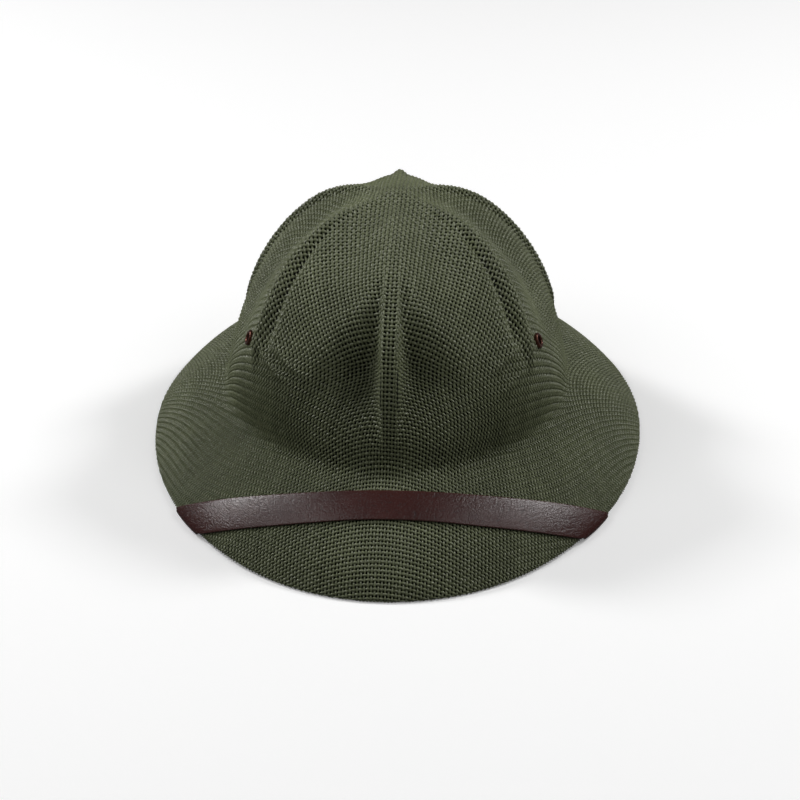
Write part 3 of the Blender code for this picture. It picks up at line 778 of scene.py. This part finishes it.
def strap_route(form):
    """Half of the strap's middle line, front to end: azimuth, length from the edge and slant."""
    edge_azimuth = math.radians(STRAP_EDGE_AZIMUTH)
    foot_length = HEM_TURN + float(brim_length(form, np.array(edge_azimuth)))
    route = []
    for step in np.linspace(0.0, 1.0, 61):
        azimuth = edge_azimuth * step
        share = STRAP_SHARE + (1 - STRAP_SHARE) * step ** STRAP_BOW
        length = -(1 - share) * float(brim_length(form, np.array(azimuth)))
        route.append((azimuth, length, float(ease((step - STRAP_SLANT_START) / STRAP_SLANT_GROW))))
    lengths = np.concatenate([np.linspace(0.0, HEM_TURN, 11), np.linspace(HEM_TURN, foot_length, 30),
                              np.linspace(foot_length, foot_length + STRAP_RISE, 16)])
    for length in np.unique(lengths)[1:]:
        to_foot = min(length / foot_length, 1.0)
        past_foot = max(length - foot_length, 0.0) / STRAP_RISE
        degrees = STRAP_EDGE_AZIMUTH + (STRAP_FOOT_AZIMUTH - STRAP_EDGE_AZIMUTH) * to_foot
        degrees += (STRAP_END_AZIMUTH - STRAP_FOOT_AZIMUTH) * past_foot
        route.append((math.radians(degrees), length, 1.0))
    return np.array(route)


def on_wrap(form, azimuth, length):
    """Point and outward direction of the straw, length being measured on from the brim's edge."""
    def at(turn, more):
        turned = (azimuth % (2 * math.pi) + turn) % (2 * math.pi)
        return on_form(form, turned, lookup_round(form.edge_reach, turned) + length + more)

    ahead = at(0.0, CLOTH_PROBE) - at(0.0, -CLOTH_PROBE)
    aside = at(WRAP_PROBE, 0.0) - at(-WRAP_PROBE, 0.0)
    return at(0.0, 0.0), unit(np.cross(ahead, aside))


def make_strap(form, material):
    """The leather strap from end to end, with rounded edges."""
    half = strap_route(form)
    route = np.concatenate([half[:0:-1] * (-1.0, 1.0, 1.0), half])
    azimuth, length, slant = route.T
    reach = np.linalg.norm((on_wrap(form, azimuth, length)[0] - PLACE)[:, :2], axis=-1)
    sideways, onward = np.gradient(azimuth) * reach, np.gradient(length)
    total = np.hypot(sideways, onward)
    sideways, onward = sideways / total, onward / total
    shear = np.where(slant > 0, slant * sideways / np.where(np.abs(onward) < 1e-6, 1e-6, onward), 0.0)
    profile = strap_profile()
    across = profile[:, 0][None, :]
    turned = azimuth[:, None] - across * (onward + shear * sideways)[:, None] / reach[:, None]
    lengths = length[:, None] + across * (sideways - shear * onward)[:, None]
    point, normal = on_wrap(form, turned, lengths)
    rings = point + normal * (STRAP_GAP + profile[:, 1])[None, :, None]
    count, size = rings.shape[:2]
    faces = faces_between_rings(count, size).tolist()
    faces.append(list(range(size))[::-1])
    faces.append(list(range((count - 1) * size, count * size)))
    along = np.cumsum(total)[:, None] * np.ones((1, size))
    hide = np.stack([along, across * np.ones((count, 1)), np.zeros((count, size))], axis=-1)
    piece = smooth_piece("strap_leather", rings, faces, (material,), (("hide", "FLOAT_VECTOR", hide),))
    piece.data.set_sharp_from_angle(angle=math.radians(60))
    return face_outwards(piece)


def face_outwards(piece):
    """Turns a closed piece's faces outwards."""
    work = bmesh.new()
    work.from_mesh(piece.data)
    bmesh.ops.recalc_face_normals(work, faces=work.faces)
    if work.calc_volume(signed=True) < 0:
        bmesh.ops.reverse_faces(work, faces=work.faces)
    work.to_mesh(piece.data)
    work.free()
    return piece


def make_eyelet(name, side, node, material):
    """A rolled eyelet: two round rims and a barrel, at the depth of the solid one."""
    centre, normal = eyelet_seat(side)
    corners = np.array([vertex.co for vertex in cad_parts[node].data.vertices])
    depths = (corners - centre) @ normal
    low, high = depths.min(), depths.max()
    middle = (EYELET_BORE + EYELET_OUTER) / 4
    half = (EYELET_OUTER - EYELET_BORE) / 4
    loop = []
    for level, first in ((high - EYELET_ROLL, 0), (low + EYELET_ROLL, 180)):
        for turn in np.radians(np.arange(first, first + 181, 20)):
            loop.append((middle + half * math.cos(turn), level + EYELET_ROLL * math.sin(turn)))
    angles = 2 * math.pi * np.arange(EYELET_STEPS) / EYELET_STEPS
    points = np.array([[(r * math.cos(angle), r * math.sin(angle), h) for r, h in loop]
                       for angle in angles])
    faces = faces_between_rings(EYELET_STEPS, len(loop), closed=True).tolist()
    piece = smooth_piece(name, points, faces, (material,))
    turn = Vector(normal).to_track_quat("Z", "Y").to_matrix().to_4x4()
    piece.data.transform(Matrix.Translation(Vector(centre)) @ turn)
    return face_outwards(piece)


class Nodes:
    """Short way to lay out a material's nodes."""

    def __init__(self, tree):
        self.tree = tree

    def add(self, kind, inputs=(), **settings):
        node = self.tree.nodes.new(kind)
        for key, value in settings.items():
            setattr(node, key, value)
        for key, value in dict(inputs).items():
            self.feed(node.inputs[key], value)
        return node

    def feed(self, socket, value):
        if isinstance(value, bpy.types.NodeSocket):
            self.tree.links.new(value, socket)
        else:
            socket.default_value = value

    def fill(self, node, **inputs):
        """Feeds a node's inputs by name, an underscore standing for a space."""
        for key, value in inputs.items():
            self.feed(node.inputs[key.replace("_", " ")], value)
        return node.outputs

    def math(self, operation, *values):
        return self.add("ShaderNodeMath", enumerate(values), operation=operation).outputs[0]

    def times(self, first, second):
        return self.math("MULTIPLY", first, second)

    def mix(self, share, first, second, blend="MIX"):
        node = self.add("ShaderNodeMix", data_type="RGBA", blend_type=blend)
        return self.fill(node, Factor=share, A=first, B=second)["Result"]

    def attribute(self, name, output="Vector"):
        return self.add("ShaderNodeAttribute", attribute_name=name).outputs[output]

    def split(self, vector):
        return self.add("ShaderNodeSeparateXYZ", {"Vector": vector}).outputs

    def noise(self, vector, scale, detail):
        return self.fill(self.add("ShaderNodeTexNoise"), Vector=vector, Scale=scale, Detail=detail)["Fac"]

    def place(self):
        return self.add("ShaderNodeTexCoord").outputs["Object"]

    def bump(self, shader, height, strength, distance):
        node = self.add("ShaderNodeBump")
        bumped = self.fill(node, Height=height, Strength=strength, Distance=distance)["Normal"]
        self.feed(shader.inputs["Normal"], bumped)

    def ramp(self, value, low, high):
        node = self.add("ShaderNodeMapRange", clamp=True)
        return self.fill(node, Value=value, From_Min=low, From_Max=high)[0]


def new_group(name, inputs, outputs):
    """A shader node group with named sockets, given as (name, kind, value) and (name, kind)."""
    group = bpy.data.node_groups.new(name, "ShaderNodeTree")
    for socket_name, kind, value in inputs:
        socket = group.interface.new_socket(socket_name, in_out="INPUT", socket_type=kind)
        if value is not None:
            socket.default_value = value
    for socket_name, kind in outputs:
        group.interface.new_socket(socket_name, in_out="OUTPUT", socket_type=kind)
    nodes = Nodes(group)
    return group, nodes, nodes.add("NodeGroupInput").outputs, nodes.add("NodeGroupOutput").inputs


def new_material(name):
    """A material, the way to lay out its nodes, and its shader."""
    material = bpy.data.materials.new(name)
    material.use_nodes = True
    return material, Nodes(material.node_tree), material.node_tree.nodes["Principled BSDF"]


def place_group(nodes, group, **inputs):
    """A group inside a material, with its own values."""
    return nodes.fill(nodes.add("ShaderNodeGroup", node_tree=group), **inputs)


def tone_drift_group():
    """Slow changes of tone over the helmet, as dyed and handled stuff has."""
    group, nodes, given, result = new_group(
        "tone drift",
        (("Color", "NodeSocketColor", (0.5, 0.5, 0.5, 1.0)), ("Size", "NodeSocketFloat", 0.03),
         ("Strength", "NodeSocketFloat", 0.2)),
        (("Color", "NodeSocketColor"),))
    scale = nodes.math("DIVIDE", 1.0, given["Size"])
    centred = nodes.math("SUBTRACT", nodes.noise(nodes.place(), scale, 3.0), 0.5)
    gain = nodes.math("MULTIPLY_ADD", nodes.times(centred, given["Strength"]), 4.0, 1.0)
    shade = nodes.add("ShaderNodeCombineColor", {"Red": gain, "Green": gain, "Blue": gain}).outputs[0]
    nodes.feed(result["Color"], nodes.mix(1.0, given["Color"], shade, "MULTIPLY"))
    return group


def fine_grain_group():
    """Small pebbles with fine pits between them, for leather and lacquer."""
    group, nodes, given, result = new_group(
        "fine grain",
        (("Vector", "NodeSocketVector", None), ("Size", "NodeSocketFloat", 0.001),
         ("Pits", "NodeSocketFloat", 0.5)),
        (("Height", "NodeSocketFloat"), ("Pit", "NodeSocketFloat")))
    scale = nodes.math("DIVIDE", 1.0, given["Size"])
    pebble = nodes.add("ShaderNodeTexVoronoi", {"Vector": given["Vector"], "Scale": scale},
                       feature="SMOOTH_F1").outputs["Distance"]
    rounded = nodes.math("SUBTRACT", 1.0, nodes.times(pebble, pebble))
    fine = nodes.noise(given["Vector"], nodes.times(scale, 2.3), 4.0)
    height = nodes.math("MULTIPLY_ADD", nodes.math("SUBTRACT", fine, 0.5), given["Pits"], rounded)
    nodes.feed(result["Height"], height)
    nodes.feed(result["Pit"], nodes.ramp(height, 0.75, 0.25))
    return group


def straw_thread_material(tone_drift):
    """Twisted paper straw: olive, with a painted highlight on the crests where a thread rides over and
    painted shade where it dips under, pale flecks that are partly painted glints, and thin slanting strands.
    """
    material, nodes, shader = new_material("olive_straw_thread")
    along, round_share, tone = nodes.split(nodes.attribute("yarn"))[:3]
    across = nodes.times(round_share, STRAND_SLANT)
    strands = nodes.math("MULTIPLY_ADD", along, STRAND_TURN, across)
    strand = nodes.math("SINE", nodes.math("ADD", strands, nodes.times(tone, STRAND_SHIFT)))
    fleck = nodes.noise(nodes.place(), FLECKS_PER_METRE, 2.0)
    # crest masks the painted highlight on the over-crossings, with painted shade at the under-crossings
    crest = nodes.ramp(nodes.attribute("swing", "Fac"), -0.6, 1.0)
    base = nodes.mix(nodes.ramp(tone, -2.4, 2.4), STRAW_DARK, STRAW_LIGHT)
    # the threads' colour with the painted crest highlight laid on
    lit = nodes.mix(nodes.times(crest, 0.55), base, STRAW_CREST_HIGHLIGHT)
    # pale flecks laid over the threads: partly paler fibres, partly painted glints
    flecked_and_glinting = nodes.mix(nodes.times(nodes.ramp(fleck, 0.56, 0.70), 0.55), lit, STRAW_FLECK_AND_GLINT)
    colour = place_group(nodes, tone_drift, Color=flecked_and_glinting, Size=0.035, Strength=0.16)["Color"]
    roughness = nodes.math("MULTIPLY_ADD", fleck, -0.25, 0.58)
    nodes.fill(shader, Base_Color=colour, Roughness=roughness, Specular_IOR_Level=0.55)
    nodes.bump(shader, nodes.math("MULTIPLY_ADD", strand, 0.5, fleck), 0.5, 0.00012)
    return material


def painted_shade_ground_material(tone_drift):
    """Painted shade between the threads: the ground behind them, coloured near-black."""
    material, nodes, shader = new_material("painted_shade_between_threads")
    colour = place_group(nodes, tone_drift, Color=STRAW_PAINTED_SHADE, Size=0.02, Strength=0.2)["Color"]
    nodes.fill(shader, Base_Color=colour, Roughness=0.9, Specular_IOR_Level=0.15)
    return material


def straw_inside_material(tone_drift):
    """The cloth's inner side: the same plain weave as relief, a little darker, with painted shade in the
    gaps between the threads.
    """
    material, nodes, shader = new_material("olive_straw_inside")
    warp, weft = [nodes.math("COSINE", nodes.times(count, math.pi))
                  for count in nodes.split(nodes.attribute("thread_counts"))[:2]]
    over = nodes.times(warp, weft)
    warp_height = nodes.math("MULTIPLY_ADD", over, 0.5, nodes.math("ABSOLUTE", warp))
    weft_height = nodes.math("MULTIPLY_ADD", over, -0.5, nodes.math("ABSOLUTE", weft))
    height = nodes.math("MAXIMUM", warp_height, weft_height)
    # darker in the weave's gaps, lighter on the threads' tops: painted shade
    colour = nodes.mix(nodes.ramp(height, 0.55, 1.2), STRAW_INSIDE_GAP_SHADE, STRAW_INSIDE)
    drifted = place_group(nodes, tone_drift, Color=colour, Size=0.03, Strength=0.2)["Color"]
    nodes.fill(shader, Base_Color=drifted, Roughness=0.7)
    nodes.bump(shader, height, 0.9, 0.0006)
    return material


def leather_material(tone_drift, fine_grain):
    """Dark reddish-brown leather with a pebbled, glossy face."""
    material, nodes, shader = new_material("brown_strap_leather")
    hide = nodes.attribute("hide")
    grain = place_group(nodes, fine_grain, Vector=hide, Size=0.0010, Pits=0.8)
    from_middle = nodes.math("ABSOLUTE", nodes.split(hide)["Y"])
    to_edge = nodes.ramp(from_middle, STRAP_WIDTH * 0.43, STRAP_WIDTH * 0.5)
    base = nodes.mix(grain["Pit"], LEATHER, LEATHER_PIT)
    worn = nodes.mix(nodes.times(to_edge, 0.5), base, LEATHER_WORN)
    colour = place_group(nodes, tone_drift, Color=worn, Size=0.02, Strength=0.15)["Color"]
    nodes.fill(shader, Base_Color=colour, Roughness=nodes.math("MULTIPLY_ADD", grain["Pit"], 0.15, 0.27))
    nodes.bump(shader, grain["Height"], 0.8, 0.00020)
    return material


def lacquered_metal_material(tone_drift, fine_grain):
    """Brown lacquer on small metal trim, worn to metal here and there."""
    material, nodes, shader = new_material("brown_lacquered_metal")
    grain = place_group(nodes, fine_grain, Vector=nodes.place(), Size=0.0006, Pits=1.0)
    worn = nodes.ramp(grain["Pit"], 0.55, 0.9)
    colour = nodes.mix(nodes.times(worn, 0.4), LACQUER, LACQUER_WORN)
    drifted = place_group(nodes, tone_drift, Color=colour, Size=0.004, Strength=0.2)["Color"]
    roughness = nodes.math("MULTIPLY_ADD", worn, 0.2, 0.28)
    nodes.fill(shader, Base_Color=drifted, Roughness=roughness, Metallic=0.75)
    nodes.bump(shader, grain["Height"], 0.1, 0.0001)
    return material


def floor_material():
    """White to the camera, but dark to the helmet, so that little light comes up from below."""
    material, nodes, shader = new_material("pale_floor")
    seen = nodes.add("ShaderNodeLightPath").outputs["Is Camera Ray"]
    pale, shaded = (FLOOR_TONE,) * 3 + (1.0,), (FLOOR_BOUNCE,) * 3 + (1.0,)
    nodes.fill(shader, Base_Color=nodes.mix(seen, shaded, pale), Emission_Color=(1.0, 1.0, 1.0, 1.0),
               Emission_Strength=nodes.times(seen, FLOOR_GLOW), Roughness=0.8, Specular_IOR_Level=0.1)
    return material


def make_helmet():
    """Every piece of the helmet, each on its body and in its place of the solid it stands for."""
    tone_drift = tone_drift_group()
    fine_grain = fine_grain_group()
    thread = straw_thread_material(tone_drift)
    metal = lacquered_metal_material(tone_drift, fine_grain)
    form = make_form()
    ground = make_ground(form, painted_shade_ground_material(tone_drift), straw_inside_material(tone_drift))
    cloth = [face_outwards(ground)] + weave_cloth(form, thread)
    for piece in cloth:
        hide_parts("helmet_shell")
    strap = make_strap(form, leather_material(tone_drift, fine_grain))
    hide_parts("chin_strap")
    eyelets = []
    for word, side in (("left", -1), ("right", 1)):
        eyelet = make_eyelet("rolled_eyelet_" + word, side, "eyelet_" + word, metal)
        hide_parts("eyelet_" + word)
        eyelets.append(eyelet)
        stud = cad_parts["strap_stud_" + word]
        stud.data.materials.clear()
        stud.data.materials.append(metal)
    for piece in cloth + [strap] + eyelets:
        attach(piece, "root")


def make_floor():
    mesh = bpy.data.meshes.new("pale_floor")
    corners = [(-1, -1), (1, -1), (1, 1), (-1, 1)]
    mesh.from_pydata([(x * FLOOR_HALF, y * FLOOR_HALF, 0) for x, y in corners], [], [(0, 1, 2, 3)])
    mesh.materials.append(floor_material())
    add_object("pale_floor", mesh)


Lamp = namedtuple("Lamp", "name place size power")
LAMPS = (
    Lamp(name="left_softbox", place=(-1.16, 0.56, 1.08), size=0.30, power=11.8),
    Lamp(name="right_softbox", place=(1.14, 0.50, 1.16), size=0.32, power=11.2),
    Lamp(name="left_front", place=(-0.95, -0.45, 1.25), size=0.80, power=5.0),
    Lamp(name="right_front", place=(0.95, -0.45, 1.25), size=0.80, power=4.4),
    Lamp(name="front_fill", place=(0.0, -2.2, 0.9), size=1.2, power=0.6),
)
LAMP_AIM = (0.0, 0.0, 0.06)
SKY_STRENGTH = 0.04
FLOOR_HALF = 6.0
FLOOR_GLOW = 0.20           # the light that it gives off, which the camera alone sees
FLOOR_TONE = 0.96           # as the camera sees it
FLOOR_BOUNCE = 0.15         # for the light that it throws back up at the helmet


def make_lights():
    for lamp in LAMPS:
        light = bpy.data.lights.new(lamp.name, "AREA")
        light.size = lamp.size
        light.energy = lamp.power
        holder = add_object(lamp.name, light)
        holder.location = lamp.place
        aim = Vector(LAMP_AIM) - Vector(lamp.place)
        holder.rotation_euler = aim.to_track_quat("-Z", "Y").to_euler()
    bpy.context.scene.view_settings.view_transform = "Standard"
    world = bpy.data.worlds.new("studio")
    world.use_nodes = True
    background = world.node_tree.nodes["Background"]
    background.inputs["Color"].default_value = (1.0, 1.0, 1.0, 1.0)
    background.inputs["Strength"].default_value = SKY_STRENGTH
    bpy.context.scene.world = world


def make_camera():
    """The photograph's view: from the front, 32 degrees above, a little from the side."""
    elevation, roll = math.radians(CAMERA_ELEVATION), math.radians(CAMERA_ROLL)
    away = Vector((0.0, -math.cos(elevation), math.sin(elevation)))
    level = Vector((1.0, 0.0, 0.0))
    upright = away.cross(level)
    right = level * math.cos(roll) + upright * math.sin(roll)
    up = upright * math.cos(roll) - level * math.sin(roll)
    eye = Vector(CAMERA_AIM) + up * CAMERA_AIM_RISE + away * CAMERA_DISTANCE
    pose = Matrix.Identity(4)
    for column, axis in enumerate((right, up, away, eye)):
        for row in range(3):
            pose[row][column] = axis[row]
    data = bpy.data.cameras.new("photo_view")
    data.sensor_width = SENSOR
    data.lens = CAMERA_DISTANCE * CAMERA_PIXELS_PER_METRE / IMAGE_SIZE * SENSOR
    camera = add_object("photo_view", data)
    turn = Matrix.Rotation(math.radians(CAMERA_TURN), 4, "Z")
    camera.matrix_world = Matrix.Translation((0.0, PLACE[1], 0.0)) @ turn @ pose
    bpy.context.scene.camera = camera


make_camera()
make_helmet()
make_floor()
make_lights()
